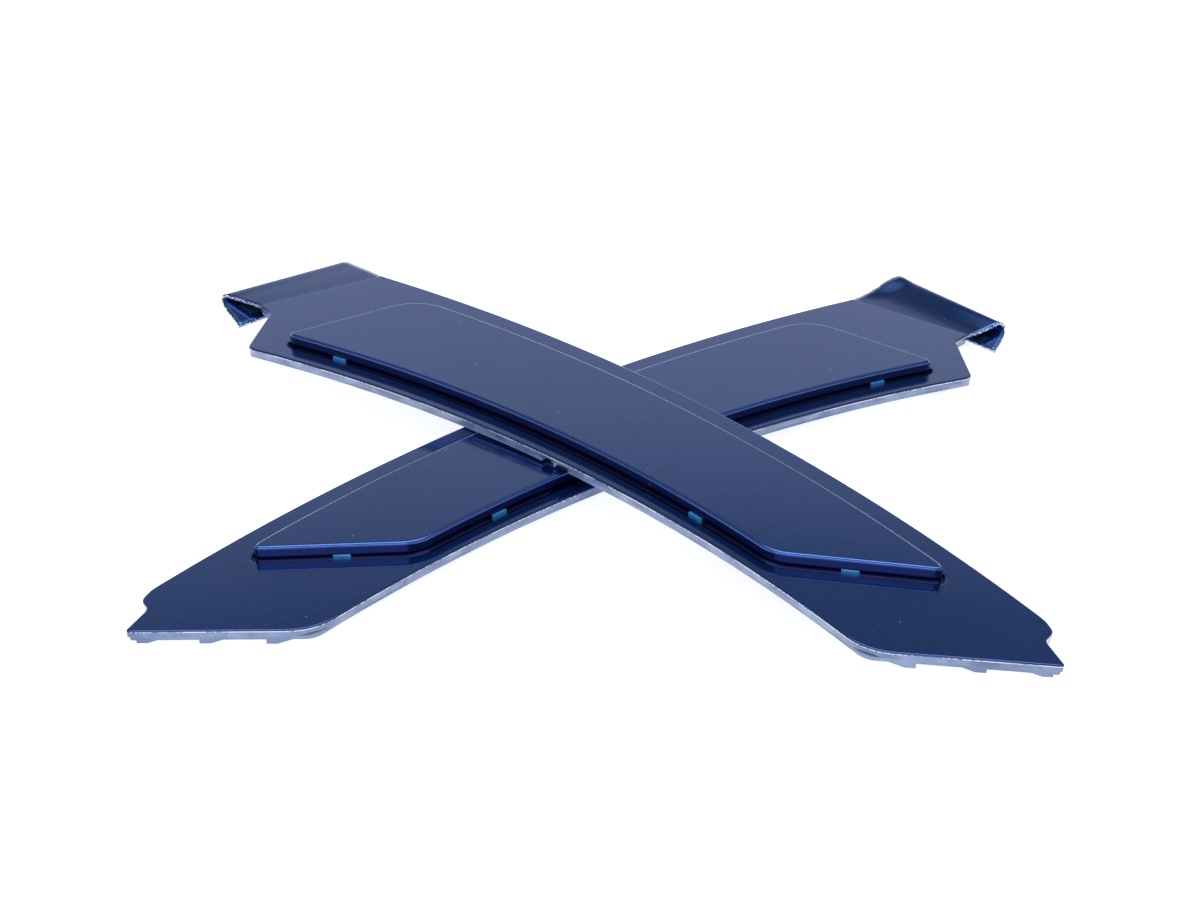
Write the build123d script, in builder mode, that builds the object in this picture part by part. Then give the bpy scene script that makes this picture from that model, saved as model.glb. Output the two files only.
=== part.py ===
# A handed pair of long, curved trim covers, lying crossed on a flat surface.
# Each strip is a painted cover with a folded hook at one end, a raised insert that
# stands in a recess with a shadow gap around it, and a moulded carrier underneath
# with three feet below its diagonal end. The lower strip stands on the surface and
# the upper strip, its mirror image, lies across it.
# Millimetres, +Z up. The origin is on the surface, in the middle of the pair.
from build123d import *
import math
import os

os.makedirs("parts", exist_ok=True)

# ---------------------------------------------------------------- driving sizes
length = 400.0              # crease at the hook to the tip of the wide end
half = length / 2
arch_radius = 10400.0       # the strip's slight lengthwise arch
crown_x = 173.0             # where the arch is highest, from the crease

skin = 1.8                  # thickness of the cover's top
cover_wall = 2.2            # thickness of the cover's side wall
cover_depth = 2.8           # top of the cover down to the edge of its wall
recess_depth = 1.5          # floor of the insert's recess, below the top
shadow_gap = 2.0            # gap between the insert and its recess
insert_height = 5.5         # the insert's top above the cover's top
insert_skin = 2.0
top_round = 0.6             # rounding of the cover's top edge
insert_round = 1.1          # rounding of the insert's top edge
tray_floor = 1.7            # thickness of the recess floor

part_gap = 0.12             # between pieces of one strip that touch
carrier_inset = 0.5         # the carrier's rim stands this far inside the wall
carrier_rim = 3.0           # width of the rim
carrier_plate = 0.9         # thickness of the plate
carrier_bottom = 4.4        # top of the cover down to the carrier's underside
opening_size = (20.0, 26.0)
opening_corner = 4.0
opening_places = (95.0, 130.0, 265.0, 300.0)
opening_middle = 22.0

foot_depth = 6.5            # top of the cover down to the feet
foot_width = 3.8            # along the diagonal edge
foot_slope = 7.0            # how far the slanted side runs out
foot_setback = 1.2          # from the diagonal edge to the feet
foot_length = 6.0
foot_places = (63.0, 41.0, 17.5)    # along the diagonal edge, from its front corner
foot_row = 378.0            # the feet stand about here, from the crease

hook_sheet = 1.3            # thickness of the folded hook
lip_front = -19.6           # the front end of the lip's tip, across the strip
lip_back = 47.0
lip_overhang = 0.5          # the lip's front end stands this far out at the fold
pad_thickness = 0.9
pad_gap = 0.25              # between the pad and the ramp that it lines
pad_margin = 2.0            # from the pad to the ends of the hook

window_upper = {"length": 6.0, "depth": 4.2, "top": 1.5}
window_lower = {"length": 7.0, "depth": 3.4, "top": 2.2}
window_overlap = 1.0        # a window's cut starts this far outside the wall
window_bottom = 5.0
front_window_places = (185.2, 192.6)    # of the upper and the lower window
back_window_places = (205.2, 212.6)
edge_clip_length = 6.6
edge_clip_thickness = 1.2
edge_clip_inset = 1.0
edge_clip_top = 2.3
edge_clip_bottom = 4.2

tab_length = 6.5            # the insert's snap tabs
tab_proud = 0.9
tab_top = 1.4
front_tab_places = (67.5, 256.0)
back_tab_places = (110.0, 290.0)
diagonal_tab_share = 0.45   # of the way along the insert's diagonal edge

screw_radius = 1.3
screw_head_radius = 2.6
screw_head = 1.3
screw_clearance = 0.1
screw_places = ((60.0, -4.0), (60.0, 28.0), (112.5, 22.0), (282.5, 22.0), (322.0, 20.0))
tape_thickness = 0.8
tape_width = 8.0
tape_runs = (((74.0, 1.0), (140.0, 7.0)), ((74.0, 47.0), (140.0, 52.5)),
             ((256.0, 48.0), (330.0, 38.5)), ((262.0, 0.0), (316.0, -5.5)))
buffer_radius = 3.0
buffer_height = 2.4
buffer_places = ((38.0, -27.0), (28.0, 42.0))
stuck_gap = 0.02            # between the carrier and what is stuck below it

lower_yaw = 38.1            # plan angle of the strip that stands on the surface
upper_yaw = -43.9
upper_pitch = 0.84          # the upper strip dips towards its wide end
rest_gap = 0.45             # between the upper strip and the insert it lies on
lower_centre = (4.7, -12.0)
upper_centre = (-3.8, -24.8)
stack_centre = (6.35, 6.21)         # middle of the pair, from the point between the crossing

far = 120.0                 # longer than any piece is wide
deep = 10.0                 # deeper than any piece reaches below the cover's top
hook_sweep_past = 6.0       # the hook is modelled this far past its ends, and cut back

# The pair's plan, as points from the crease (x) and across the strip (y).
front_corner = (29.5, -37.2)
front_middle = (190.0, -8.9)
diagonal_corner = (348.0, -20.8)
tip = (400.0, 20.6)
step_outer = (387.6, 27.6)
step_inner = (387.0, 34.0)
step_back = (381.5, 37.4)
back_middle = (200.0, 63.7)
crease_back = (15.5, 50.3)
crease_front = (0.0, -8.0)
notch_corner = (9.5, -9.3)

# The hooks: a ramp from the crease to the rim, a fold, and a lip that comes back below.
# The lower strip's ramp is bent up; the upper one's is nearly flat.
lower_hook = {
    "rim_front": (-15.5, -13.2), "rim_back": (-14.0, 48.8), "rise_front": 3.5, "rise_back": 3.8,
    "fold_out": 3.8, "fold_drop": 4.6, "tip_front": -6.0, "tip_back": -2.0, "tip_depth": 6.7,
}
upper_hook = {
    "rim_front": (-19.5, -13.5), "rim_back": (-8.5, 48.6), "rise_front": 0.8, "rise_back": 0.3,
    "fold_out": 1.8, "fold_drop": 3.2, "tip_front": -1.0, "tip_back": 3.0, "tip_depth": 7.8,
}

insert_hook_front = (39.5, -23.6)
insert_front_middle = (170.0, -1.2)
insert_front_corner = (294.5, -5.0)
insert_tip = (345.5, 31.4)
insert_back_middle = (200.0, 48.9)
insert_back_corner = (54.6, 39.2)

front_edge = (front_corner, front_middle, diagonal_corner)
back_edge = (step_back, back_middle, crease_back)
insert_front_edge = (insert_hook_front, insert_front_middle, insert_front_corner)
insert_back_edge = (insert_tip, insert_back_middle, insert_back_corner)
cover_corners = ((front_corner, 3.0), (diagonal_corner, 9.0), (tip, 1.6), (step_outer, 1.5),
                 (step_inner, 2.0), (step_back, 1.5))
insert_corners = ((insert_hook_front, 3.0), (insert_front_corner, 14.0), (insert_tip, 3.0),
                  (insert_back_corner, 14.0))
band_ends = (-60.0, 460.0)  # the arched bands run past both ends of a strip


def arch_drop(x):
    """How far the arched top lies below its crown, x from the crease."""
    return (x - crown_x) ** 2 / (2 * arch_radius)


class Strip:
    """Where one strip lies, and which hand it is."""

    def __init__(self, name, hand, yaw, pitch, centre, height, hook):
        self.name = name
        self.hand = hand
        self.hook = hook
        turn = Plane.XY.rotated((0, pitch, 0)).rotated((0, 0, yaw))
        origin = (centre[0] - stack_centre[0], centre[1] - stack_centre[1], height)
        self.plane = Plane(origin=origin, x_dir=turn.x_dir, z_dir=turn.z_dir)

    def at(self, point):
        """A plan point of the strip, in the strip's own plane."""
        return (self.hand * (point[0] - half), point[1])

    def side_plane(self, across):
        """An upright plane along the strip, at a distance across it."""
        origin = self.plane.from_local_coords(Vector(0, across, 0))
        return Plane(origin=origin, x_dir=self.plane.x_dir, z_dir=-self.plane.y_dir)


def cover_outline(strip):
    with BuildSketch() as outline:
        with BuildLine():
            ThreePointArc(*[strip.at(p) for p in front_edge])
            Polyline(
                strip.at(diagonal_corner), strip.at(tip), strip.at(step_outer),
                strip.at(step_inner), strip.at(step_back),
            )
            ThreePointArc(*[strip.at(p) for p in back_edge])
            Polyline(
                strip.at(crease_back), strip.at(crease_front), strip.at(notch_corner),
                strip.at(front_corner),
            )
        make_face()
        for corner, radius in cover_corners:
            fillet(outline.vertices().sort_by_distance(strip.at(corner))[0], radius)
    return outline.sketch


def insert_outline(strip):
    with BuildSketch() as outline:
        with BuildLine():
            ThreePointArc(*[strip.at(p) for p in insert_front_edge])
            Line(strip.at(insert_front_corner), strip.at(insert_tip))
            ThreePointArc(*[strip.at(p) for p in insert_back_edge])
            Line(strip.at(insert_back_corner), strip.at(insert_hook_front))
        make_face()
        for corner, radius in insert_corners:
            fillet(outline.vertices().sort_by_distance(strip.at(corner))[0], radius)
    return outline.sketch


def arched_slab(strip, outline, grow, top, bottom, edge_round=0.0):
    """The outline, grown or shrunk, between two depths that follow the arch."""
    with BuildSketch(strip.side_plane(0)) as band:
        with BuildLine():
            stations = (band_ends[0], crown_x, band_ends[1])
            low = [strip.at((x, bottom - arch_drop(x))) for x in stations]
            high = [strip.at((x, top - arch_drop(x))) for x in stations]
            ThreePointArc(*low)
            Line(low[2], high[2])
            ThreePointArc(high[2], high[1], high[0])
            Line(high[0], low[0])
        make_face()
    with BuildPart() as slab:
        with BuildSketch(strip.plane):
            add(outline)
            if grow != 0:
                offset(amount=grow)
        extrude(amount=far, both=True)
        extrude(to_extrude=band.sketch, amount=far, both=True, mode=Mode.INTERSECT)
        if edge_round > 0:
            crown_faces = [f for f in slab.faces() if f.normal_at(f.center()).Z > 0.9]
            fillet(ShapeList(crown_faces).sort_by(Axis.Z)[-1].edges(), edge_round)
    return slab.part


def hook_points(strip, across):
    """The hook's painted outer face at a distance across the strip, crease to tip."""
    hook = strip.hook
    along = (across - hook["rim_front"][1]) / (hook["rim_back"][1] - hook["rim_front"][1])
    rim_x = hook["rim_front"][0] + along * (hook["rim_back"][0] - hook["rim_front"][0])
    rise = hook["rise_front"] + along * (hook["rise_back"] - hook["rise_front"])
    tip_x = hook["tip_front"] + along * (hook["tip_back"] - hook["tip_front"])
    slope = (crease_back[0] - crease_front[0]) / (crease_back[1] - crease_front[1])
    crease_x = crease_front[0] + (across - crease_front[1]) * slope
    base = -arch_drop(crease_x)
    ramp = crease_x - rim_x
    out = hook["fold_out"]
    drop = hook["fold_drop"]
    return {
        "root": (crease_x + skin, base),
        "low": (rim_x + 0.6 * ramp, base + 0.15 * rise),
        "high": (rim_x + 0.3 * ramp, base + 0.55 * rise),
        "rim": (rim_x, base + rise),
        "shoulder": (rim_x - 0.75 * out, base + rise - 0.3 * drop),
        "fold": (rim_x - out, base + rise - 0.65 * drop),
        "heel": (rim_x - 0.85 * out, base + rise - drop),
        "tip": (tip_x, base - hook["tip_depth"]),
    }


def ramp_section(strip, across):
    """The ramp and the upper half of the fold, as outer points and then inner ones."""
    p = hook_points(strip, across)
    outer = [p[k] for k in ("root", "low", "high", "rim", "shoulder", "fold")]
    inner = [(p["fold"][0] + hook_sheet, p["fold"][1])]
    inner.append((p["rim"][0] + 0.25 * hook_sheet, p["rim"][1] - hook_sheet))
    inner += [(p[k][0], p[k][1] - hook_sheet) for k in ("high", "low", "root")]
    return outer + inner


def lip_section(strip, across):
    """The lower half of the fold and the lip."""
    p = hook_points(strip, across)
    run = Vector(p["tip"]) - Vector(p["heel"])
    inside = Vector(-run.Y, run.X).normalized() * hook_sheet
    tip_inside = Vector(p["tip"]) + inside
    return [p["shoulder"], p["fold"], p["heel"], p["tip"], (tip_inside.X, tip_inside.Y),
            (p["fold"][0] + hook_sheet, p["fold"][1])]


def pad_section(strip, across):
    """The pad's section, below the ramp."""
    p = hook_points(strip, across)
    top = hook_sheet + pad_gap
    upper_side = [(p[k][0], p[k][1] - top) for k in ("low", "high")]
    lower_side = [(p[k][0], p[k][1] - top - pad_thickness) for k in ("high", "low")]
    return upper_side + lower_side


def folded_sheet(strip, section, limits):
    """A sheet of the hook: a section swept across the strip, cut to its plan limits."""
    faces = []
    for across in (crease_back[1] + hook_sweep_past, lip_front - hook_sweep_past):
        with BuildSketch(strip.side_plane(across)) as profile:
            with BuildLine():
                Polyline(*[strip.at(p) for p in section(strip, across)], close=True)
            make_face()
        faces.append(profile.sketch.face())
    with BuildSketch() as plan:
        with BuildLine():
            Polyline(*[strip.at(p) for p in limits], close=True)
        make_face()
    with BuildPart() as sheet:
        loft(faces, ruled=True)
        with BuildSketch(strip.plane):
            add(plan.sketch)
        extrude(amount=far, both=True, mode=Mode.INTERSECT)
    return sheet.part


def ramp_limits(strip, shrink):
    """The ramp's plan: it narrows from the crease to the rim."""
    hook = strip.hook
    past_x = hook["rim_front"][0] - hook["fold_out"] - hook_sweep_past
    return [
        (crease_back[0] + 2 * skin, crease_back[1] - shrink),
        (crease_back[0], crease_back[1] - shrink),
        (hook["rim_back"][0], hook["rim_back"][1] - shrink),
        (past_x, hook["rim_back"][1] - shrink),
        (past_x, hook["rim_front"][1] + shrink),
        (hook["rim_front"][0], hook["rim_front"][1] + shrink),
        (crease_front[0], crease_front[1] + shrink),
        (crease_front[0] + 2 * skin, crease_front[1] + shrink),
    ]


def lip_limits(strip):
    """The lip's plan: its front end runs forward from the fold to the tip."""
    hook = strip.hook
    past_x = hook["rim_front"][0] - hook["fold_out"] - hook_sweep_past
    fold_front = hook["rim_front"][1] - lip_overhang
    return [
        (hook["tip_back"] + hook_sweep_past, lip_back),
        (past_x, hook["rim_back"][1]),
        (past_x, fold_front),
        (hook["rim_front"][0] - hook["fold_out"], fold_front),
        (hook["tip_front"], lip_front),
        (hook["tip_back"] + hook_sweep_past, lip_front),
    ]


def edge_point(start, middle, end, x):
    """The point at x on the arc through three plan points, and the arc's direction."""
    arc = ThreePointArc(start, middle, end, mode=Mode.PRIVATE)
    low = 0.0
    high = 1.0
    rising = (arc @ 1).X > (arc @ 0).X
    for _ in range(40):
        mid = (low + high) / 2
        if ((arc @ mid).X < x) == rising:
            low = mid
        else:
            high = mid
    place = arc @ low
    heading = arc % low
    return place, heading


def edge_block(strip, place, heading, along, start, depth, top, bottom):
    """An arched block on an edge: along is its length, and it runs inwards from start."""
    inward = Vector(-heading.Y, heading.X, 0)
    centre = place + inward * (start + depth / 2)
    angle = math.degrees(math.atan2(heading.Y, heading.X)) * strip.hand
    with BuildSketch() as block:
        with Locations(Location(strip.at((centre.X, centre.Y)), angle)):
            Rectangle(along, depth)
    return arched_slab(strip, block.sketch, 0, top, bottom)


def make_strip(strip):
    """Model and write every piece of one strip."""
    outline = cover_outline(strip)
    insert_plan = insert_outline(strip)
    pieces = {}

    # Edge windows: one pair half way along the front edge and one along the back.
    windows = []
    clips = []
    for edge, places in ((front_edge, front_window_places), (back_edge, back_window_places)):
        for x, window in zip(places, (window_upper, window_lower)):
            place, heading = edge_point(*edge, x)
            windows.append(edge_block(strip, place, heading, window["length"], -window_overlap,
                                      window["depth"], -window["top"], -window_bottom))
        clips.append(edge_block(strip, place, heading, edge_clip_length, edge_clip_inset,
                                edge_clip_thickness, -edge_clip_top, -edge_clip_bottom))

    # The cover: an arched skin with a side wall, a recess for the insert, and the hook.
    shell = arched_slab(strip, outline, 0, 0, -cover_depth, top_round)
    cavity = arched_slab(strip, outline, -cover_wall, -skin, -cover_depth - 2)
    tray = arched_slab(strip, insert_plan, shadow_gap + skin, -skin / 2, -recess_depth - tray_floor)
    recess = arched_slab(strip, insert_plan, shadow_gap, insert_height, -recess_depth)
    ramp = folded_sheet(strip, ramp_section, ramp_limits(strip, 0))
    lip = folded_sheet(strip, lip_section, lip_limits(strip))
    with BuildPart() as cover:
        add(shell)
        add(cavity, mode=Mode.SUBTRACT)
        add(tray)
        add(recess, mode=Mode.SUBTRACT)
        for window in windows:
            add(window, mode=Mode.SUBTRACT)
        add(ramp)
        add(lip)
    pieces["cover"] = cover

    # The insert: a raised shell that stands on the floor of the recess.
    raised = arched_slab(strip, insert_plan, 0, insert_height, -recess_depth + part_gap,
                         insert_round)
    hollow = arched_slab(strip, insert_plan, -insert_skin, insert_height - insert_skin, -deep)
    with BuildPart() as insert:
        add(raised)
        add(hollow, mode=Mode.SUBTRACT)
    pieces["insert"] = insert

    # Snap tabs at the insert's foot, standing a little proud in the shadow gap.
    cut = Vector(insert_tip) - Vector(insert_front_corner)
    tab_seats = [(Vector(insert_front_corner) + cut * diagonal_tab_share, cut.normalized())]
    tab_seats += [edge_point(*insert_front_edge, x) for x in front_tab_places]
    tab_seats += [edge_point(*insert_back_edge, x) for x in back_tab_places]
    with BuildPart() as insert_clips:
        for place, heading in tab_seats:
            add(edge_block(strip, place, heading, tab_length, -part_gap - tab_proud, tab_proud,
                           tab_top, -recess_depth + part_gap))
    pieces["insert_clips"] = insert_clips

    # The carrier: a rim below the cover's wall, a plate with openings, and three feet.
    rim = arched_slab(strip, outline, -carrier_inset, -cover_depth - part_gap, -carrier_bottom)
    rim_inside = arched_slab(strip, outline, -carrier_inset - carrier_rim, 0, -deep)
    plate = arched_slab(strip, outline, -carrier_inset - carrier_rim / 2,
                        -carrier_bottom + carrier_plate, -carrier_bottom)
    edge = Vector(tip) - Vector(diagonal_corner)
    edge_angle = math.degrees(math.atan2(edge.Y, edge.X)) * strip.hand
    edge_unit = edge.normalized()
    inward = Vector(-edge_unit.Y, edge_unit.X, 0)
    surface_drop = arch_drop(foot_row)
    feet = []
    for place in foot_places:
        corner = Vector(diagonal_corner) + edge_unit * place + inward * foot_setback
        origin = strip.plane.from_local_coords(Vector(*strip.at((corner.X, corner.Y)), 0))
        foot_x = strip.plane.x_dir.rotate(Axis((0, 0, 0), strip.plane.z_dir), edge_angle)
        foot_y = strip.plane.z_dir.cross(foot_x)
        foot_plane = Plane(origin=origin, x_dir=foot_x, z_dir=-foot_y)
        low = -foot_depth - surface_drop
        high = -carrier_bottom - surface_drop + carrier_plate / 2
        with BuildPart() as foot:
            with BuildSketch(foot_plane):
                with BuildLine():
                    Polyline(
                        (0, high), (0, low), (-strip.hand * foot_width, low),
                        (-strip.hand * (foot_width + foot_slope), high), close=True,
                    )
                make_face()
            extrude(amount=-foot_length)
        feet.append(foot.part)
    openings = []
    for x in opening_places:
        with BuildSketch() as opening:
            with Locations(strip.at((x, opening_middle))):
                RectangleRounded(*opening_size, opening_corner)
        openings.append(arched_slab(strip, opening.sketch, 0, 0, -deep))
    with BuildSketch() as shafts:
        with Locations(*[strip.at(p) for p in screw_places]):
            Circle(screw_radius)
    shank_holes = arched_slab(strip, shafts.sketch, screw_clearance, 0, -deep)
    with BuildPart() as carrier:
        add(rim)
        add(rim_inside, mode=Mode.SUBTRACT)
        add(plate)
        for foot_solid in feet:
            add(foot_solid)
        for opening_solid in openings:
            add(opening_solid, mode=Mode.SUBTRACT)
        for window in windows:
            add(window, mode=Mode.SUBTRACT)
        add(shank_holes, mode=Mode.SUBTRACT)
    pieces["carrier"] = carrier

    # Pan-head screws that hold the carrier to the cover's recess floor.
    shanks = arched_slab(strip, shafts.sketch, 0, -recess_depth - tray_floor - part_gap,
                         -carrier_bottom - screw_head / 2)
    with BuildSketch() as head_plan:
        with Locations(*[strip.at(p) for p in screw_places]):
            Circle(screw_head_radius)
    heads = arched_slab(strip, head_plan.sketch, 0, -carrier_bottom - stuck_gap,
                        -carrier_bottom - screw_head)
    with BuildPart() as carrier_screws:
        add(heads)
        add(shanks)
    pieces["carrier_screws"] = carrier_screws

    # Snap clips that stand behind the edge windows.
    with BuildPart() as edge_clips:
        for clip in clips:
            add(clip)
    pieces["edge_clips"] = edge_clips

    # Double-sided foam tape below the carrier, in runs that leave the middle clear.
    with BuildSketch() as tape_plan:
        for start, end in tape_runs:
            run = Vector(end) - Vector(start)
            middle = (Vector(start) + Vector(end)) / 2
            turn = math.degrees(math.atan2(run.Y, run.X)) * strip.hand
            with Locations(Location(strip.at((middle.X, middle.Y)), turn)):
                Rectangle(run.length, tape_width)
    tapes = arched_slab(strip, tape_plan.sketch, 0, -carrier_bottom - stuck_gap,
                        -carrier_bottom - tape_thickness)
    with BuildPart() as foam_tape:
        add(tapes)
    pieces["foam_tape"] = foam_tape

    # Rubber buffers below the corners of the hook end.
    with BuildSketch() as buffer_plan:
        with Locations(*[strip.at(p) for p in buffer_places]):
            Circle(buffer_radius)
    buffer_solids = arched_slab(strip, buffer_plan.sketch, 0, -carrier_bottom - stuck_gap,
                                -carrier_bottom - buffer_height)
    with BuildPart() as buffers:
        add(buffer_solids)
    pieces["buffers"] = buffers

    # The pad that lines the underside of the hook's ramp.
    lining = folded_sheet(strip, pad_section, ramp_limits(strip, pad_margin))
    with BuildPart() as hook_pad:
        add(lining)
    pieces["hook_pad"] = hook_pad

    for piece_name, piece in pieces.items():
        name = f"{strip.name}_{piece_name}"
        piece.part.label = name
        export_step(piece.part, f"parts/{name}.step")


# The lower strip's feet and the tip of its hook stand on the surface.
lower_height = foot_depth + arch_drop(foot_row)
upper_height = lower_height + insert_height + rest_gap + carrier_bottom
lower = Strip("lower", -1, lower_yaw, 0, lower_centre, lower_height, lower_hook)
upper = Strip("upper", 1, upper_yaw, upper_pitch, upper_centre, upper_height, upper_hook)
for one in (lower, upper):
    make_strip(one)
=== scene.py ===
import math

import bmesh
import bpy
from mathutils import Matrix, Vector, noise


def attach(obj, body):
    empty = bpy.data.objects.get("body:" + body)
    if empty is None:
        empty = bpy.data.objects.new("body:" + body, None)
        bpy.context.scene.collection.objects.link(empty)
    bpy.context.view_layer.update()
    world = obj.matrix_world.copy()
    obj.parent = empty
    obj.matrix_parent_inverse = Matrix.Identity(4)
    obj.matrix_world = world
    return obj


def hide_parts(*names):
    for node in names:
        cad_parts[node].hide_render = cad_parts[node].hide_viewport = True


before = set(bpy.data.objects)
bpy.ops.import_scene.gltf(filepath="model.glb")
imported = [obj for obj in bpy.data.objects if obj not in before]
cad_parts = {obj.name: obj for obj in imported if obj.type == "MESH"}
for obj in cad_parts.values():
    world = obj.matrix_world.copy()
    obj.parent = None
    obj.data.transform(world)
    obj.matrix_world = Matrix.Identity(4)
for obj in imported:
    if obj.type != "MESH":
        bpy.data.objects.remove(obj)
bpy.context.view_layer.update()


# ---- Surface, light and camera --------------------------------------------------------
# A seamless white sweep under a big overhead softbox: the pair lies on it, crossed.
# The camera looks down at the crossing from the front, a little over 0.7 m away.
MM = 0.001
sweep_size = 4.0
sweep_mesh = bpy.data.meshes.new("white_sweep")
bm = bmesh.new()
bmesh.ops.create_grid(bm, x_segments=1, y_segments=1, size=sweep_size / 2)
bm.to_mesh(sweep_mesh)
bm.free()
white_sweep = bpy.data.objects.new("white_sweep", sweep_mesh)
bpy.context.scene.collection.objects.link(white_sweep)


def linear(hex_colour):
    """An sRGB hex colour as the linear colour a shader socket takes."""
    out = []
    for k in (0, 2, 4):
        c = int(hex_colour[k:k + 2], 16) / 255
        out.append(c / 12.92 if c <= 0.04045 else ((c + 0.055) / 1.055) ** 2.4)
    return (*out, 1.0)


def node(tree, kind, settings=(), links=(), stops=()):
    """Adds one shader node with its settings and links.

    settings are attribute or socket values, links are source sockets, and stops are the
    (position, colour) pairs of a colour ramp, in order."""
    made = tree.nodes.new(kind)
    for key, value in dict(settings).items():
        if isinstance(key, str) and hasattr(made, key):
            setattr(made, key, value)
        else:
            made.inputs[key].default_value = value
    for key, source in dict(links).items():
        tree.links.new(source, made.inputs[key])
    if stops:
        elements = made.color_ramp.elements
        while len(elements) < len(stops):
            elements.new(0.5)
        for element, (position, colour) in zip(elements, stops):
            element.position = position
            element.color = colour
    return made


def grey(value):
    """A neutral colour for a ramp that carries a plain number."""
    return (value, value, value, 1.0)


def new_material(name):
    """An empty node material, and the node tree it is built in."""
    material = bpy.data.materials.new(name)
    material.use_nodes = True
    material.node_tree.nodes.clear()
    return material, material.node_tree


def give(tree, shader):
    """Connects a finished shader to the material's output."""
    node(tree, "ShaderNodeOutputMaterial", {}, {"Surface": shader.outputs[0]})


# Matt white card with a little glow of its own, so that it stays white in soft light.
white_card, tree = new_material("white_card")
card_shader = node(tree, "ShaderNodeBsdfPrincipled", {
    "Base Color": linear("DADADA"), "Roughness": 0.9, "Specular IOR Level": 0.1,
    "Emission Color": linear("FFFFFF"), "Emission Strength": 0.75})
give(tree, card_shader)
sweep_mesh.materials.append(white_card)

# The room's light as the gloss sees it: (how high up, how bright), where 0 is the horizon
# and 1 is straight above. It is bright low down, darker well above, and bright overhead.
room_light = ((0.0, 1.0), (0.34, 0.75), (0.42, 0.57), (0.51, 0.57), (0.55, 0.44), (0.60, 0.2),
              (0.76, 0.12), (0.88, 0.8), (1.0, 1.0))
studio = bpy.data.worlds.new("studio")
bpy.context.scene.world = studio
studio.use_nodes = True
tree = studio.node_tree
tree.nodes.clear()
direction = node(tree, "ShaderNodeTexCoord")
height = node(tree, "ShaderNodeSeparateXYZ", {}, {0: direction.outputs["Generated"]})
brightness = node(tree, "ShaderNodeValToRGB", {}, {0: height.outputs["Z"]},
                  [(up, grey(value)) for up, value in room_light])
room = node(tree, "ShaderNodeBackground", {"Strength": 1.0}, {0: brightness.outputs[0]})
node(tree, "ShaderNodeOutputWorld", {}, {0: room.outputs[0]})

softbox_size = (1.4, 0.8)


def softbox(name, place, power):
    """An area light at place in metres, facing the pair, with its power in watts."""
    lamp = bpy.data.lights.new(name, "AREA")
    lamp.shape = "RECTANGLE"
    lamp.size, lamp.size_y = softbox_size
    lamp.energy = power
    holder = bpy.data.objects.new(name, lamp)
    bpy.context.scene.collection.objects.link(holder)
    holder.location = place
    holder.rotation_mode = "QUATERNION"
    holder.rotation_quaternion = Vector(place).to_track_quat("Z", "Y")


softbox("overhead_softbox", (0.0, -0.1, 1.4), 11.0)
softbox("front_fill", (-0.4, -1.5, 0.7), 7.0)

aim = Vector((-6.35, -6.21, 8.52)) * MM
camera_distance = 726.3 * MM
camera_rise = math.radians(30.67)
camera_data = bpy.data.cameras.new("camera")
camera_data.lens = 54.0
camera_data.sensor_width = 36.0
camera_data.clip_start = 0.01
camera = bpy.data.objects.new("camera", camera_data)
bpy.context.scene.collection.objects.link(camera)
camera.location = aim + camera_distance * Vector((0, -math.cos(camera_rise), math.sin(camera_rise)))
camera.rotation_euler = (math.pi / 2 - camera_rise, 0, 0)
bpy.context.scene.camera = camera
bpy.context.scene.view_settings.view_transform = "Standard"
bpy.context.scene.view_settings.look = "None"


# ---- Covers ---------------------------------------------------------------------------
# Each cover is an injection-moulded skin with a low side wall, a recess for the insert
# and a hook folded from the same sheet at one end, sprayed metallic navy and lacquered.
# The two are mirror images; sizes are in millimetres from the hook's crease.
cover_skin = 1.8
wall_depth = 2.8
hook_sheet = 1.3
edge_round = 0.6
crease_round = 0.3
lip_round = 0.3
recess_depth = 1.5
shadow_gap = 2.0
arch_radius = 10400.0
crown_x = 173.0
middle_y = 20.0
strip_half = 200.0
stack_centre = (6.35, 6.21)

# How each strip lies, and its hook: the rim's two ends, how far the rim stands above the
# cover, the fold over the rim, and where the lip ends under it.
strips = {
    "lower": {
        "hand": -1, "yaw": 38.1, "pitch": 0.0, "at": (4.7, -12.0, 8.52),
        "rim_front": (-15.5, -13.2), "rim_back": (-14.0, 48.8), "rise_front": 3.5, "rise_back": 3.8,
        "fold_out": 3.8, "fold_drop": 4.6, "tip_front": -6.0, "tip_back": -2.0, "tip_depth": 6.7,
        "bent_corner": 1.6},
    "upper": {
        "hand": 1, "yaw": -43.9, "pitch": 0.84, "at": (-3.8, -24.8, 18.87),
        "rim_front": (-19.5, -13.5), "rim_back": (-8.5, 48.6), "rise_front": 0.8, "rise_back": 0.3,
        "fold_out": 1.8, "fold_drop": 3.2, "tip_front": -1.0, "tip_back": 3.0, "tip_depth": 7.8,
        "bent_corner": 0.0},
}
lip_front = -19.6
lip_back = 47.0
fold_inset = 0.5
fold_part, lip_part = 0.6, 0.4      # of the way from the rim to the lip's tip

# Windows in the wall, half way along each long edge: the place, the edge (-1 is the front
# one and 1 the back one), and how far below the cover's top the window starts.
windows = ((185.2, -1, 1.5), (192.6, -1, 2.1), (205.2, 1, 1.5), (212.6, 1, 2.1))
window_half = 3.2

front_corner = (29.5, -37.2)
front_middle = (190.0, -8.9)
diagonal_corner = (348.0, -20.8)
tip = (400.0, 20.6)
step_outer = (387.6, 27.6)
step_inner = (387.0, 34.0)
back_corner = (381.5, 37.4)
back_middle = (200.0, 63.7)
crease_back = (15.5, 50.3)
crease_front = (0.0, -8.0)
notch_corner = (9.5, -9.3)
insert_hook_front = (39.5, -23.6)
insert_front_middle = (170.0, -1.2)
insert_front_corner = (294.5, -5.0)
insert_tip = (345.5, 31.4)
insert_back_middle = (200.0, 48.9)
insert_back_corner = (54.6, 39.2)
arc_steps = 200
trace_step = 0.4        # an outline is traced this finely before its corners are rounded


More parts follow.
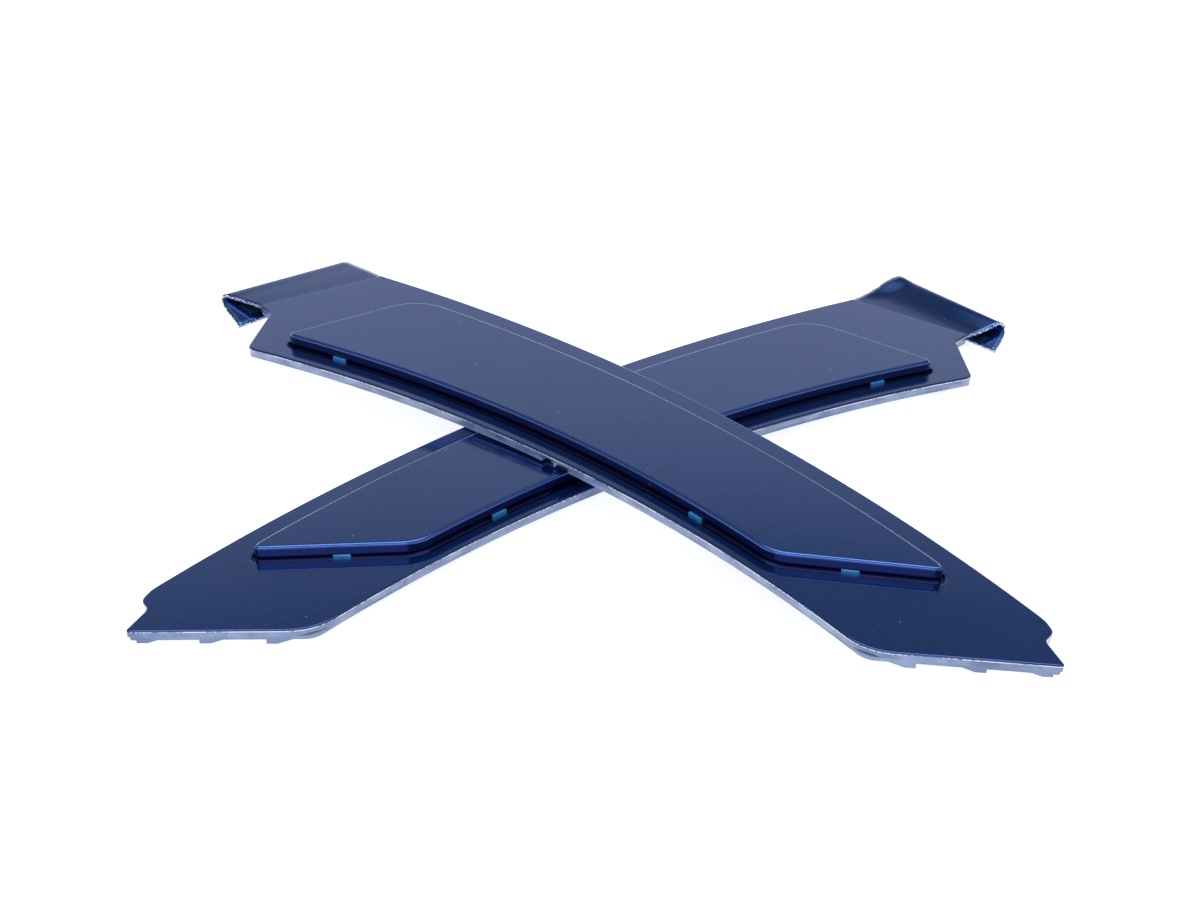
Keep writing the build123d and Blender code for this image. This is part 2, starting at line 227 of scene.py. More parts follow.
def arc(start, middle, end):
    """Points along the circle through three points, from start to end."""
    (ax, ay), (bx, by), (cx, cy) = start, middle, end
    d = 2 * (ax * (by - cy) + bx * (cy - ay) + cx * (ay - by))
    a2, b2, c2 = ax * ax + ay * ay, bx * bx + by * by, cx * cx + cy * cy
    centre = Vector((a2 * (by - cy) + b2 * (cy - ay) + c2 * (ay - by),
                     a2 * (cx - bx) + b2 * (ax - cx) + c2 * (bx - ax))) / d
    from_centre = Vector(start) - centre
    turn = -from_centre.angle_signed(Vector(end) - centre)
    return [centre + Matrix.Rotation(turn * k / arc_steps, 2) @ from_centre
            for k in range(arc_steps + 1)]


def resample(points, count):
    """count + 1 points evenly spaced along a line of points."""
    lengths = [0.0]
    for a, b in zip(points, points[1:]):
        lengths.append(lengths[-1] + (b - a).length)
    out = []
    k = 0
    for i in range(count + 1):
        want = lengths[-1] * i / count
        while k < len(points) - 2 and lengths[k + 1] < want:
            k += 1
        part = (want - lengths[k]) / max(lengths[k + 1] - lengths[k], 1e-9)
        out.append(points[k].lerp(points[k + 1], min(max(part, 0), 1)))
    return out


def outline(sides, corners):
    """A closed outline from its sides, with rounded corners, as evenly sampled sides.

    sides are (points, count); corners are (point, reach), where reach is how far from
    the corner its rounding begins."""
    dense = []
    for points, _ in sides:
        points = [Vector(p) for p in points]
        long = sum((b - a).length for a, b in zip(points, points[1:]))
        dense += resample(points, max(int(long / trace_step), 2))[:-1]
    ends = [Vector(points[0]) for points, _ in sides]
    n = len(dense)
    shaped = [p.copy() for p in dense]
    for corner, reach in corners:
        at = min(range(n), key=lambda k: (dense[k] - Vector(corner)).length)
        steps = max(int(reach / trace_step), 1)
        first, last = dense[(at - steps) % n], dense[(at + steps) % n]
        for j in range(-steps + 1, steps):
            t = (j + steps) / (2 * steps)
            side = first.lerp(dense[at], t)
            shaped[(at + j) % n] = side.lerp(dense[at].lerp(last, t), t)
    starts = [min(range(n), key=lambda k: (dense[k] - end).length) for end in ends]
    loop = []
    for k, (_, count) in enumerate(sides):
        stop = starts[(k + 1) % len(sides)]
        run = [shaped[i % n] for i in range(starts[k], stop + 1 if stop > starts[k] else stop + n + 1)]
        loop += resample(run, count)[:-1]
    return loop


def inset(loop, amounts):
    """The closed loop moved inwards; amounts is one distance or one for each point."""
    n = len(loop)
    if not isinstance(amounts, list):
        amounts = [amounts] * n
    area = sum(a.cross(b) for a, b in zip(loop, loop[1:] + loop[:1]))
    out = []
    for k, point in enumerate(loop):
        along = (loop[(k + 1) % n] - loop[k - 1]).normalized()
        normal = Vector((-along.y, along.x)) * (1 if area > 0 else -1)
        out.append(point + normal * amounts[k])
    return out


# Both outlines have the same number of points, side by side, so that the cover's flat top
# can be drawn from one to the other.
front_count, end_count, back_count, crease_count, notch_count, tab_count = 110, 112, 110, 30, 6, 22
cover_outline = outline(
    [(arc(front_corner, front_middle, diagonal_corner), front_count),
     ([diagonal_corner, tip, step_outer, step_inner, back_corner], end_count),
     (arc(back_corner, back_middle, crease_back), back_count),
     ([crease_back, crease_front], crease_count),
     ([crease_front, notch_corner], notch_count),
     ([notch_corner, front_corner], tab_count)],
    [(front_corner, 3.2), (diagonal_corner, 11.0), (tip, 2.4), (step_outer, 2.0),
     (step_inner, 2.2), (back_corner, 2.0), (notch_corner, 1.6)])
insert_outline = outline(
    [(arc(insert_hook_front, insert_front_middle, insert_front_corner), front_count),
     ([insert_front_corner, insert_tip], end_count),
     (arc(insert_tip, insert_back_middle, insert_back_corner), back_count),
     ([insert_back_corner, insert_hook_front], crease_count + notch_count + tab_count)],
    [(insert_hook_front, 4.2), (insert_front_corner, 7.0), (insert_tip, 6.0),
     (insert_back_corner, 15.0)])
crease_start = front_count + end_count + back_count
crease_end = crease_start + crease_count


def level(points, height):
    """Plan points at a height above the cover's top, before the strip's arch is put in."""
    return [Vector((p.x, p.y, height)) for p in points]


def extend(bm, line, places, closed):
    """Extrudes a line of vertices to new places and returns the new line."""
    pairs = list(zip(line, line[1:] + line[:1])) if closed else list(zip(line, line[1:]))
    made = bmesh.ops.extrude_edge_only(bm, edges=[bm.edges.get(p) for p in pairs])["geom"]
    fresh = {v for v in made if isinstance(v, bmesh.types.BMVert)}
    step = [next(e.other_vert(v) for e in v.link_edges if e.other_vert(v) in fresh) for v in line]
    for vertex, place in zip(step, places):
        vertex.co = place
    return step


def first_line(bm, places, closed):
    """A line of vertices and edges to extrude from."""
    line = [bm.verts.new(p) for p in places]
    for a, b in zip(line, line[1:] + (line[:1] if closed else [])):
        bm.edges.new((a, b))
    return line


def hook_point(strip, across, out, depth=0.0):
    """A point on the hook's outer face: out is 0 at the crease, 1 at the rim, 2 at the lip's tip.

    depth moves the point below the face, for the pad that lines it."""
    share = (across - strip["rim_front"][1]) / (strip["rim_back"][1] - strip["rim_front"][1])
    rim_x = strip["rim_front"][0] + share * (strip["rim_back"][0] - strip["rim_front"][0])
    rise = strip["rise_front"] + share * (strip["rise_back"] - strip["rise_front"])
    tip_x = strip["tip_front"] + share * (strip["tip_back"] - strip["tip_front"])
    slope = (crease_back[0] - crease_front[0]) / (crease_back[1] - crease_front[1])
    crease_x = crease_front[0] + (across - crease_front[1]) * slope
    ramp = crease_x - rim_x
    fold_out, drop = strip["fold_out"], strip["fold_drop"]
    heel = Vector((rim_x - 0.85 * fold_out, rise - drop))
    lip_end = Vector((tip_x, -strip["tip_depth"]))
    # The hook's section, as a smooth curve through these points from the second to the
    # last but one: up the ramp, over the rim, round the fold and back under as the lip.
    stations = [
        Vector((crease_x + 0.3 * ramp, -crease_round)), Vector((crease_x, -crease_round)),
        Vector((rim_x + 0.6 * ramp, 0.15 * rise)), Vector((rim_x + 0.3 * ramp, 0.55 * rise)),
        Vector((rim_x, rise)), Vector((rim_x - 0.75 * fold_out, rise - 0.3 * drop)),
        Vector((rim_x - fold_out, rise - 0.65 * drop)), heel, heel.lerp(lip_end, 0.3), lip_end,
        heel.lerp(lip_end, 1.3)]
    place = out * 3 if out <= 1 else 3 + (out - 1) * (len(stations) - 6)
    k = min(int(place), len(stations) - 4)
    t = place - k
    p = stations[k:k + 4]
    point = 0.5 * (2 * p[1] + (p[2] - p[0]) * t + (2 * p[0] - 5 * p[1] + 4 * p[2] - p[3]) * t ** 2
                   + (3 * p[1] - p[0] - 3 * p[2] + p[3]) * t ** 3)
    return Vector((point.x, across, point.y - depth))


def hook_row(strip, out, depth=0.0, margin=0.0):
    """One row of the hook, from its back end to its front end."""
    if out <= 1:
        front_y = crease_front[1] + out * (strip["rim_front"][1] - crease_front[1])
        back_y = crease_back[1] + out * (strip["rim_back"][1] - crease_back[1])
    else:
        fold = min((out - 1) / fold_part, 1)
        lip = max((out - 2 + lip_part) / lip_part, 0)
        front_y = strip["rim_front"][1] - fold_inset * fold
        front_y += (lip_front - front_y) * lip
        back_y = strip["rim_back"][1] + (lip_back - strip["rim_back"][1]) * lip
    front_y += margin
    back_y -= margin
    return [hook_point(strip, back_y + (front_y - back_y) * k / crease_count, out, depth)
            for k in range(crease_count + 1)]


def placement(strip):
    """The strip's own millimetres to the shared frame's metres."""
    x, y, z = strip["at"]
    return (Matrix.Translation(Vector((x - stack_centre[0], y - stack_centre[1], z)) * MM)
            @ Matrix.Rotation(math.radians(strip["yaw"]), 4, "Z")
            @ Matrix.Rotation(math.radians(strip["pitch"]), 4, "Y")
            @ Matrix.Diagonal((strip["hand"] * MM, MM, MM, 1))
            @ Matrix.Translation((-strip_half, 0, 0)))


def finish_piece(name, bm, strip, body, material):
    """Arches a finished mesh, places it in the frame, and makes its object, body and slot."""
    for v in bm.verts:
        v.co.z -= (v.co.x - crown_x) ** 2 / (2 * arch_radius)
    bmesh.ops.transform(bm, matrix=placement(strip), verts=bm.verts)
    if strip["hand"] < 0:
        bmesh.ops.reverse_faces(bm, faces=bm.faces)
    mesh = bpy.data.meshes.new(name)
    bm.to_mesh(mesh)
    bm.free()
    mesh.materials.append(material)
    for face in mesh.polygons:
        face.use_smooth = True
    piece = bpy.data.objects.new(name, mesh)
    bpy.context.scene.collection.objects.link(piece)
    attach(piece, body)
    return piece


def face_up(bm):
    """Turns an open sheet's faces consistently outwards, which is up for most of its area."""
    bmesh.ops.recalc_face_normals(bm, faces=bm.faces)
    bm.normal_update()
    if sum(f.normal.z * f.calc_area() for f in bm.faces) < 0:
        bmesh.ops.reverse_faces(bm, faces=bm.faces)


def solidify(piece, thickness, thin=()):
    """Gives a moulded sheet its thickness, inwards from its outer face.

    thin holds the vertices of the hook, whose sheet is thinner than the rest."""
    wall = piece.modifiers.new("sheet", "SOLIDIFY")
    wall.thickness = thickness * MM
    wall.offset = -1
    wall.use_quality_normals = True
    if thin:
        group = piece.vertex_groups.new(name="full_thickness")
        group.add([v.index for v in piece.data.vertices], 1.0, "REPLACE")
        group.add(thin, hook_sheet / thickness, "REPLACE")
        wall.vertex_group = group.name


fill_step = 9.0


def fill(bm, loop):
    """Closes a loop with a flat face, cut across every step so that it can follow the arch."""
    ring = [bm.edges.get((a, b)) for a, b in zip(loop, loop[1:] + loop[:1])]
    face = bmesh.ops.contextual_create(bm, geom=ring)["faces"][0]
    geom = [face, *face.edges, *face.verts]
    low, high = min(v.co.x for v in loop), max(v.co.x for v in loop)
    for k in range(1, int((high - low) / fill_step)):
        geom = bmesh.ops.bisect_plane(bm, geom=geom, dist=0.001, plane_co=(low + k * fill_step, 0, 0),
                                      plane_no=(1, 0, 0))["geom"]


edge_band = 0.3         # a narrow flat band beside each rounding keeps its highlight crisp
round_steps = 5
plate_steps = 8
lip_steps = 4
# The recess's floor: how far inwards from its side, and how far above its lowest part.
recess_floor = ((0.0, 0.35), (0.1, 0.1), (0.35, 0.0), (1.4, 0.0), (shadow_gap + 1.6, 0.0))
wall_levels = (0.75, 1.0, 1.5, 2.1, 2.6, wall_depth)
worn_below = 2.5
hook_rows = [0.012, 0.03] + [k / 14 for k in range(1, 15)] + [1 + k / 25 for k in range(1, 26)]
# The lower strip's hook has a bent-up, crumpled corner at its back end.
bent_columns = 4
bent_middle, bent_reach = 0.75, 0.6     # on the way out, where the crease is 0 and the rim 1
crumple_height, crumple_size = 0.7, 2.5


def cover_mesh(strip):
    """The cover's painted outer face, as one sheet with open edges at wall and hook.

    Also gives back the indices of the hook's vertices."""
    bm = bmesh.new()
    wear = bm.verts.layers.float.new("edge_wear")
    drop = bm.verts.layers.float.new("below_top")
    shade = bm.verts.layers.float.new("painted_shade_amount")
    # Top edge, rounded from the wall inwards.
    n = len(cover_outline)
    radius = [crease_round if crease_start <= k <= crease_end else edge_round for k in range(n)]
    edge = first_line(bm, [Vector((p.x, p.y, -r)) for p, r in zip(cover_outline, radius)], True)
    for v, r in zip(edge, radius):
        v[drop] = r
    loop = edge
    for k in range(1, round_steps + 1):
        turn = math.pi / 2 * k / round_steps
        flat = inset(cover_outline, [r * (1 - math.cos(turn)) for r in radius])
        loop = extend(bm, loop, [Vector((p.x, p.y, r * (math.sin(turn) - 1)))
                                 for p, r in zip(flat, radius)], True)
        for v, r in zip(loop, radius):
            v[drop] = r * (1 - math.sin(turn))
    # Flat top, from its rounded edge to the lip of the recess.
    beside_edge = inset(cover_outline, [r + edge_band for r in radius])
    beside_lip = inset(insert_outline, -shadow_gap - lip_round - edge_band)
    for k in range(plate_steps + 1):
        ring = [a.lerp(b, k / plate_steps) for a, b in zip(beside_edge, beside_lip)]
        loop = extend(bm, loop, level(ring, 0.0), True)
    loop = extend(bm, loop, level(inset(insert_outline, -shadow_gap - lip_round), 0.0), True)
    # Recess: its rounded lip, its side and its floor, with painted shade over the lip and in the gap.
    for k in range(1, lip_steps + 1):
        turn = math.pi / 2 * k / lip_steps
        lip = inset(insert_outline, -shadow_gap - lip_round * (1 - math.sin(turn)))
        loop = extend(bm, loop, level(lip, -lip_round * (1 - math.cos(turn))), True)
        for v in loop:
            v[shade] = k / lip_steps
    for inwards, above_floor in recess_floor:
        ring = inset(insert_outline, inwards - shadow_gap)
        loop = extend(bm, loop, level(ring, above_floor - recess_depth), True)
        for v in loop:
            v[shade] = 1.0
    fill(bm, loop)
    # Side wall with its windows, all round from the crease's front end to its back end.
    order = [*range(crease_end, n), *range(crease_start + 1)]
    wall = [edge[k] for k in order]
    openings = set()
    for depth in wall_levels:
        above = wall
        wall = extend(bm, wall, level([cover_outline[k] for k in order], -depth), False)
        for a, b, c in zip(wall, wall[1:], above):
            x, y, _ = (a.co + b.co) / 2
            for window_x, window_edge, window_top in windows:
                if (abs(x - window_x) < window_half and (y - middle_y) * window_edge > 0
                        and depth > window_top):
                    openings.update(f for f in a.link_faces if b in f.verts and c in f.verts)
        for v in wall:
            v[drop] = depth
            v[wear] = 0.3 if depth > worn_below else 0.0
    # Hook: the ramp, the rim, the fold and the lip, drawn out from the crease.
    hook_start = len(bm.verts)
    row = edge[crease_start:crease_end + 1]
    for out in hook_rows:
        places = hook_row(strip, out)
        if strip["bent_corner"] > 0:
            near_middle = max(0, 1 - abs(out - bent_middle) / bent_reach)
            for j in range(bent_columns):
                near_end = 1 - j / bent_columns
                places[j].z += strip["bent_corner"] * near_end * near_middle
                places[j].y += crumple_height * noise.noise(places[j] / crumple_size) * near_end
        row = extend(bm, row, places, False)
        for j, v in enumerate(row):
            v[drop] = 0.0
            v[wear] = 1.0 if out == 2 or j in (0, crease_count) else 0.0
    bmesh.ops.delete(bm, geom=list(openings), context="FACES_ONLY")
    face_up(bm)
    bm.verts.index_update()
    return bm, list(range(hook_start, len(bm.verts)))


# Two-coat metallic paint, sprayed on ABS: fine flake in a navy base under clear lacquer,
# with a faint orange peel and a few dust nibs. It carries painted shade at rounded edges,
# in the shadow gap and on the insert's side, is thin and matt on the side wall, and is
# chipped white where the sheet ends.
metallic_lacquer, tree = new_material("metallic_lacquer_on_abs")
flake_size = 0.6        # drawn coarse: real flake is about 0.03 mm
cloud_size = 60.0
peel_size = 2.6
nib_spacing = 13.0
thin_patch = 9.0
chip_size = 0.8
chip_run = 16.0
place = node(tree, "ShaderNodeTexCoord").outputs["Object"]
drop = node(tree, "ShaderNodeAttribute", {"attribute_name": "below_top"})
# This attribute holds painted shade, for the recess and for the insert's side.
painted_shade_mask = node(tree, "ShaderNodeAttribute", {"attribute_name": "painted_shade_amount"})
wear = node(tree, "ShaderNodeAttribute", {"attribute_name": "edge_wear"})

# Navy base with its flake, and a slow change of tone along the strip.
flake = node(tree, "ShaderNodeTexNoise", {"Scale": 1 / (flake_size * MM), "Detail": 2.0}, {"Vector": place})
cloud = node(tree, "ShaderNodeTexNoise", {"Scale": 1 / (cloud_size * MM), "Detail": 3.0}, {"Vector": place})
navy = node(tree, "ShaderNodeValToRGB", {}, {0: flake.outputs[0]},
            [(0.32, linear("00489C")), (0.75, linear("0069C5"))])
toned = node(tree, "ShaderNodeMix", {"data_type": "RGBA", "blend_type": "MULTIPLY", 0: 0.25},
             {6: navy.outputs[0], 7: cloud.outputs[0]})

# Painted shade: a darker navy at the rounded edges, in the shadow gap and on the insert's side.
edge_painted_shade = node(tree, "ShaderNodeMapRange", {"From Min": -0.03, "From Max": 0.06, "To Max": 0.85},
                 {0: drop.outputs["Fac"]})
painted_shade_part = node(tree, "ShaderNodeMath", {"operation": "MAXIMUM"},
                 {0: edge_painted_shade.outputs[0], 1: painted_shade_mask.outputs["Fac"]})
shaded = node(tree, "ShaderNodeMix", {"data_type": "RGBA", 7: linear("021A5E")},
              {0: painted_shade_part.outputs[0], 6: toned.outputs[2]})

# Thin overspray on the side wall.
thin_part = node(tree, "ShaderNodeMapRange", {"From Min": 0.6, "From Max": 0.8}, {0: drop.outputs["Fac"]})
thin_noise = node(tree, "ShaderNodeTexNoise", {"Scale": 1 / (thin_patch * MM), "Detail": 5.0},
                  {"Vector": place})
thin_colour = node(tree, "ShaderNodeValToRGB", {}, {0: thin_noise.outputs[0]},
                   [(0.35, linear("3E5580")), (0.65, linear("6F86AE"))])
with_thin = node(tree, "ShaderNodeMix", {"data_type": "RGBA"},
                 {0: thin_part.outputs[0], 6: shaded.outputs[2], 7: thin_colour.outputs[0]})

# Dust nibs under the lacquer.
nibs = node(tree, "ShaderNodeTexVoronoi", {"Scale": 1 / (nib_spacing * MM), "Randomness": 1.0},
            {"Vector": place})
nib_dot = node(tree, "ShaderNodeMath", {"operation": "LESS_THAN", 1: 0.03}, {0: nibs.outputs["Distance"]})
with_nibs = node(tree, "ShaderNodeMix", {"data_type": "RGBA", 7: linear("8FA2C4")},
                 {0: nib_dot.outputs[0], 6: with_thin.outputs[2]})

# Chips at worn edges, and in runs along a line just below the cover's top edge.
chips = node(tree, "ShaderNodeTexNoise", {"Scale": 1 / (chip_size * MM), "Detail": 3.0, "Roughness": 0.7},
             {"Vector": place})
edge_chips = node(tree, "ShaderNodeMath", {"operation": "MULTIPLY_ADD", 1: 0.42},
                  {0: wear.outputs["Fac"], 2: chips.outputs[0]})
chip_line = node(tree, "ShaderNodeValToRGB", {}, {0: drop.outputs["Fac"]},
                 [(0.5, grey(0)), (0.62, grey(1)), (0.85, grey(1)), (1.0, grey(0))])
chip_runs = node(tree, "ShaderNodeTexNoise", {"Scale": 1 / (chip_run * MM), "Detail": 4.0},
                 {"Vector": place})
line_chips = node(tree, "ShaderNodeMath", {"operation": "MULTIPLY"},
                  {0: chip_line.outputs[0], 1: chip_runs.outputs[0]})
all_chips = node(tree, "ShaderNodeMath", {"operation": "MULTIPLY_ADD", 1: 0.95},
                 {0: line_chips.outputs[0], 2: edge_chips.outputs[0]})
chipped = node(tree, "ShaderNodeMath", {"operation": "GREATER_THAN", 1: 0.94}, {0: all_chips.outputs[0]})
colour = node(tree, "ShaderNodeMix", {"data_type": "RGBA", 7: linear("DDE2EA")},
              {0: chipped.outputs[0], 6: with_nibs.outputs[2]})

# Metallic except where it is thin or chipped, with flake and peel in the gloss.
bare = node(tree, "ShaderNodeMath", {"operation": "MAXIMUM"},
            {0: thin_part.outputs[0], 1: chipped.outputs[0]})
metal = node(tree, "ShaderNodeMath", {"operation": "MULTIPLY_ADD", 1: -0.92, 2: 0.92}, {0: bare.outputs[0]})
gloss = node(tree, "ShaderNodeMapRange", {"To Min": 0.16, "To Max": 0.26}, {0: flake.outputs[0]})
peel = node(tree, "ShaderNodeTexNoise", {"Scale": 1 / (peel_size * MM), "Detail": 1.0}, {"Vector": place})
peel_and_nibs = node(tree, "ShaderNodeMath", {"operation": "MULTIPLY_ADD", 1: 0.8},
                     {0: nib_dot.outputs[0], 2: peel.outputs[0]})
bump = node(tree, "ShaderNodeBump", {"Strength": 0.05, "Distance": 0.2 * MM},
            {"Height": peel_and_nibs.outputs[0]})
paint = node(tree, "ShaderNodeBsdfPrincipled", {
    "Coat Weight": 1.0, "Coat Roughness": 0.035, "Coat IOR": 1.5, "IOR": 1.5},
    {"Base Color": colour.outputs[2], "Metallic": metal.outputs[0], "Roughness": gloss.outputs[0],
     "Normal": bump.outputs[0], "Coat Normal": bump.outputs[0]})
give(tree, paint)

for side, strip in strips.items():
    sheet, hook_vertices = cover_mesh(strip)
    cover = finish_piece(f"{side}_painted_cover", sheet, strip, f"{side}_strip",
                         metallic_lacquer)
    solidify(cover, cover_skin, hook_vertices)
    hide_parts(f"{side}_cover")


# ---- Inserts --------------------------------------------------------------------------
# A raised panel stands in each cover's recess, with a shadow gap all round. It is
# moulded separately, sprayed with the same paint, and clipped in from above.
insert_height = 5.5
insert_round = 1.1
insert_lift = 0.12      # the foot stands this far above the recess's floor
side_top = insert_height - insert_round
insert_levels = (0.6, 2.4, side_top - 0.6, side_top)
insert_round_steps = 6


def insert_mesh():
    """The insert's painted outer face, from its foot to the top, closed below."""
    bm = bmesh.new()
    shade = bm.verts.layers.float.new("painted_shade_amount")
    foot = first_line(bm, level(insert_outline, insert_lift - recess_depth), True)
    for v in foot:
        v[shade] = 1.0
    loop = foot
    # Painted shade on the side wall, full up to the top rounding and easing off over it.
    for height in insert_levels:
        loop = extend(bm, loop, level(insert_outline, height), True)
        for v in loop:
            v[shade] = 0.9 if height == side_top else 1.0
    for k in range(1, insert_round_steps + 1):
        turn = math.pi / 2 * k / insert_round_steps
        flat = inset(insert_outline, insert_round * (1 - math.cos(turn)))
        loop = extend(bm, loop, level(flat, insert_height - insert_round * (1 - math.sin(turn))), True)
        for v in loop:
            v[shade] = max(0.0, 0.9 - 0.3 * k)
    loop = extend(bm, loop, level(inset(insert_outline, insert_round + 0.25), insert_height), True)
    fill(bm, loop)
    fill(bm, foot)
    bmesh.ops.recalc_face_normals(bm, faces=bm.faces)
    return bm


for side, strip in strips.items():
    insert = finish_piece(f"{side}_painted_insert", insert_mesh(), strip, f"{side}_strip",
                          metallic_lacquer)
    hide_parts(f"{side}_insert")


# ---- Hook pads ------------------------------------------------------------------------
# A strip of thin yellow-green felt lines the inside of each hook, glued to the sheet,
# and keeps the hook from rattling on the panel edge that it catches over.
pad_thickness = 0.9
pad_glue = 0.25
pad_margin = 2.0
pad_start, pad_length = 0.35, 0.33      # along the ramp, where the crease is 0 and the rim 1
pad_rows = 8

# Pressed wool felt: matt, with tangled fibres that catch the light at its edges.
felt, tree = new_material("wool_felt")
fibre_size = 0.25
place = node(tree, "ShaderNodeTexCoord").outputs["Object"]
fibres = node(tree, "ShaderNodeTexNoise",
              {"Scale": 1 / (fibre_size * MM), "Detail": 5.0, "Distortion": 1.5}, {"Vector": place})
felt_colour = node(tree, "ShaderNodeValToRGB", {}, {0: fibres.outputs[0]},
                   [(0.0, linear("6E6F1C")), (1.0, linear("C9C25A"))])
felt_bump = node(tree, "ShaderNodeBump", {"Strength": 0.6, "Distance": 0.15 * MM},
                 {"Height": fibres.outputs[0]})
felt_shader = node(tree, "ShaderNodeBsdfPrincipled", {"Roughness": 0.95, "Sheen Weight": 0.4},
                   {"Base Color": felt_colour.outputs[0], "Normal": felt_bump.outputs[0]})
give(tree, felt_shader)


def pad_mesh(strip):
    """The pad's face against the hook's ramp, as one sheet."""
    bm = bmesh.new()
    rows = [hook_row(strip, pad_start + pad_length * k / pad_rows, hook_sheet + pad_glue, pad_margin)
            for k in range(pad_rows + 1)]
    line = first_line(bm, rows[0], False)
    for places in rows[1:]:
        line = extend(bm, line, places, False)
    face_up(bm)
    return bm


for side, strip in strips.items():
    pad = finish_piece(f"{side}_felt_pad", pad_mesh(strip), strip, f"{side}_strip", felt)
    solidify(pad, pad_thickness)
    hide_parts(f"{side}_hook_pad")


# ---- Carriers -------------------------------------------------------------------------
# A moulded frame below each cover, with openings and three feet at the diagonal end.
# It is screwed to the cover, and is sprayed along with it at its rim.

# Moulded ABS: matt grain, and grey-blue where overspray from the cover has reached it.
overspray_abs, tree = new_material("abs_with_overspray")
mist_patch = 18.0
grain_size = 0.5
place = node(tree, "ShaderNodeTexCoord").outputs["Object"]
mist = node(tree, "ShaderNodeTexNoise", {"Scale": 1 / (mist_patch * MM), "Detail": 5.0}, {"Vector": place})
grain = node(tree, "ShaderNodeTexNoise", {"Scale": 1 / (grain_size * MM), "Detail": 3.0}, {"Vector": place})
mist_colour = node(tree, "ShaderNodeValToRGB", {}, {0: mist.outputs[0]},
                   [(0.3, linear("4F6592")), (0.7, linear("8093B6"))])
grain_bump = node(tree, "ShaderNodeBump", {"Strength": 0.25, "Distance": 0.1 * MM},
                  {"Height": grain.outputs[0]})
abs_gloss = node(tree, "ShaderNodeMapRange", {"To Min": 0.35, "To Max": 0.6}, {0: grain.outputs[0]})
abs_shader = node(tree, "ShaderNodeBsdfPrincipled", {"IOR": 1.53},
                  {"Base Color": mist_colour.outputs[0], "Roughness": abs_gloss.outputs[0],
                   "Normal": grain_bump.outputs[0]})
give(tree, abs_shader)


def dress(name, material, rounding):
    """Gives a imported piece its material, clean shading, and softened edges."""
    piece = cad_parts[name]
    piece.data.materials.clear()
    piece.data.materials.append(material)
    join = piece.modifiers.new("join", "WELD")
    join.merge_threshold = 0.001 * MM
    soft = piece.modifiers.new("soft_edges", "BEVEL")
    soft.width = rounding * MM
    soft.segments = 2
    soft.limit_method = "ANGLE"
    soft.angle_limit = math.radians(50)


for side in strips:
    dress(f"{side}_carrier", overspray_abs, 0.15)


# ---- Small pieces ---------------------------------------------------------------------
# Snap tabs in the shadow gap, clips behind the edge windows, screws, foam tape and
# rubber buffers: the hardware that holds each strip together and to its panel.

# Snap tabs: blue moulded nylon, glossy, with faint flow marks.
gloss_nylon, tree = new_material("gloss_blue_nylon")
flow_size = 2.0
place = node(tree, "ShaderNodeTexCoord").outputs["Object"]
flow = node(tree, "ShaderNodeTexNoise", {"Scale": 1 / (flow_size * MM), "Detail": 2.0}, {"Vector": place})
tab_colour = node(tree, "ShaderNodeValToRGB", {}, {0: flow.outputs[0]},
                  [(0.0, linear("1B5C9E")), (1.0, linear("3A86C6"))])
tab_shader = node(tree, "ShaderNodeBsdfPrincipled", {"Roughness": 0.22, "IOR": 1.53},
                  {"Base Color": tab_colour.outputs[0]})
give(tree, tab_shader)

# Edge clips: black moulded nylon, satin, with a fine glass-filled speckle.
black_nylon, tree = new_material("black_nylon")
speckle_size = 0.6
place = node(tree, "ShaderNodeTexCoord").outputs["Object"]
speckle = node(tree, "ShaderNodeTexNoise", {"Scale": 1 / (speckle_size * MM), "Detail": 3.0},
               {"Vector": place})
nylon_colour = node(tree, "ShaderNodeValToRGB", {}, {0: speckle.outputs[0]},
                    [(0.0, linear("0B0C10")), (1.0, linear("20222A"))])
nylon_shader = node(tree, "ShaderNodeBsdfPrincipled", {"Roughness": 0.45, "IOR": 1.53},
                    {"Base Color": nylon_colour.outputs[0]})
give(tree, nylon_shader)

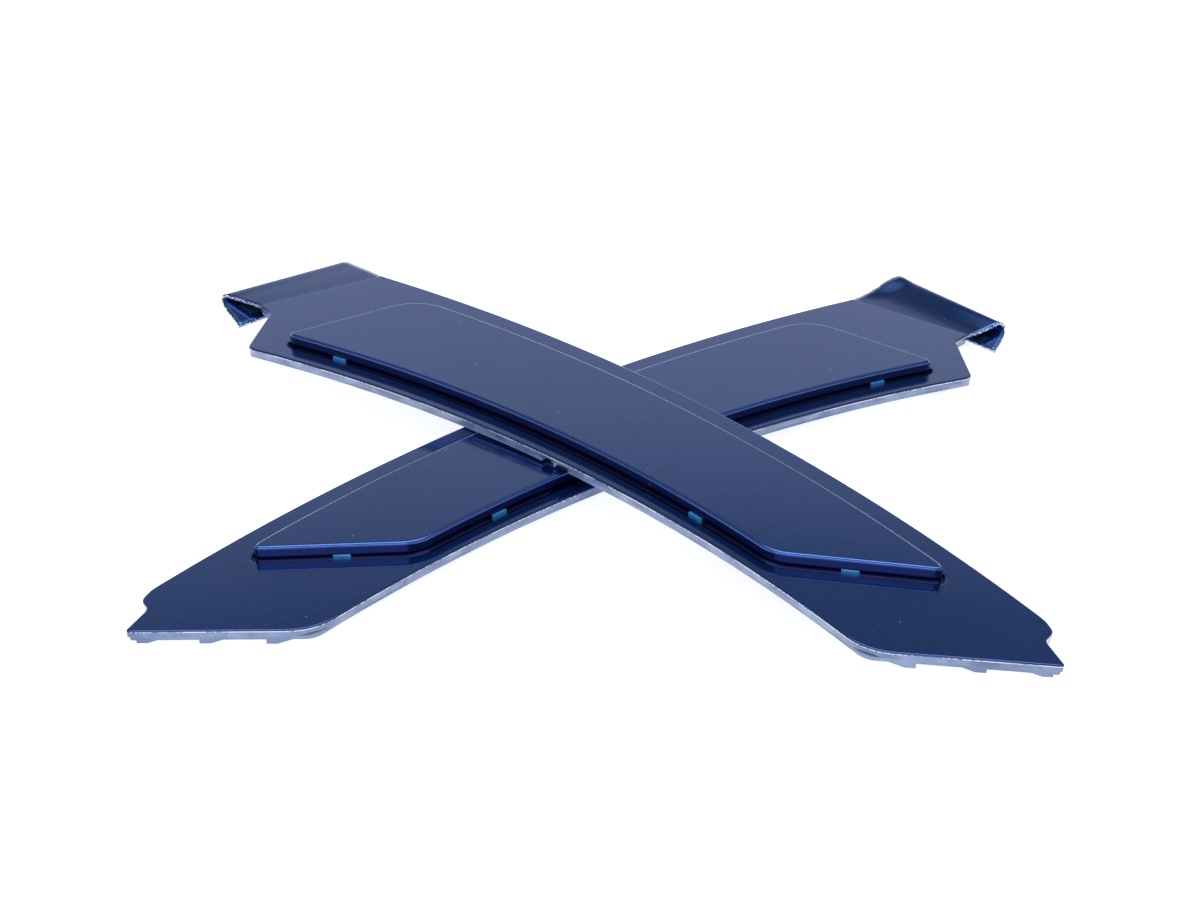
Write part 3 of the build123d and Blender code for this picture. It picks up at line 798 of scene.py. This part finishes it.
# Screws: zinc-plated steel, bright with a cloudy bloom in its gloss.
zinc_steel, tree = new_material("zinc_plated_steel")
bloom_size = 1.5
place = node(tree, "ShaderNodeTexCoord").outputs["Object"]
bloom = node(tree, "ShaderNodeTexNoise", {"Scale": 1 / (bloom_size * MM), "Detail": 4.0}, {"Vector": place})
zinc_rough = node(tree, "ShaderNodeMapRange", {"To Min": 0.22, "To Max": 0.42},
                  {0: bloom.outputs[0]})
zinc_shader = node(tree, "ShaderNodeBsdfPrincipled", {"Base Color": linear("C9CACB"), "Metallic": 1.0},
                   {"Roughness": zinc_rough.outputs[0]})
give(tree, zinc_shader)

# Tape: closed-cell foam, charcoal and matt, with its cut cells showing.
cell_foam, tree = new_material("closed_cell_foam")
cell_size = 0.45
place = node(tree, "ShaderNodeTexCoord").outputs["Object"]
cells = node(tree, "ShaderNodeTexVoronoi", {"Scale": 1 / (cell_size * MM)}, {"Vector": place})
foam_colour = node(tree, "ShaderNodeValToRGB", {}, {0: cells.outputs["Distance"]},
                   [(0.0, linear("2A2B2E")), (1.0, linear("131416"))])
foam_bump = node(tree, "ShaderNodeBump", {"Strength": 0.5, "Distance": 0.15 * MM},
                 {"Height": cells.outputs["Distance"]})
foam_shader = node(tree, "ShaderNodeBsdfPrincipled", {"Roughness": 0.9},
                   {"Base Color": foam_colour.outputs[0], "Normal": foam_bump.outputs[0]})
give(tree, foam_shader)

# Buffers: soft moulded rubber, nearly black and dull, with a little dust on it.
soft_rubber, tree = new_material("soft_rubber")
dust_size = 1.2
place = node(tree, "ShaderNodeTexCoord").outputs["Object"]
dust = node(tree, "ShaderNodeTexNoise", {"Scale": 1 / (dust_size * MM), "Detail": 4.0}, {"Vector": place})
rubber_colour = node(tree, "ShaderNodeValToRGB", {}, {0: dust.outputs[0]},
                     [(0.0, linear("141516")), (1.0, linear("2C2D2F"))])
rubber_shader = node(tree, "ShaderNodeBsdfPrincipled", {"Roughness": 0.75},
                     {"Base Color": rubber_colour.outputs[0]})
give(tree, rubber_shader)

for side in strips:
    dress(f"{side}_insert_clips", gloss_nylon, 0.25)
    dress(f"{side}_edge_clips", black_nylon, 0.15)
    dress(f"{side}_carrier_screws", zinc_steel, 0.3)
    dress(f"{side}_foam_tape", cell_foam, 0.1)
    dress(f"{side}_buffers", soft_rubber, 0.4)
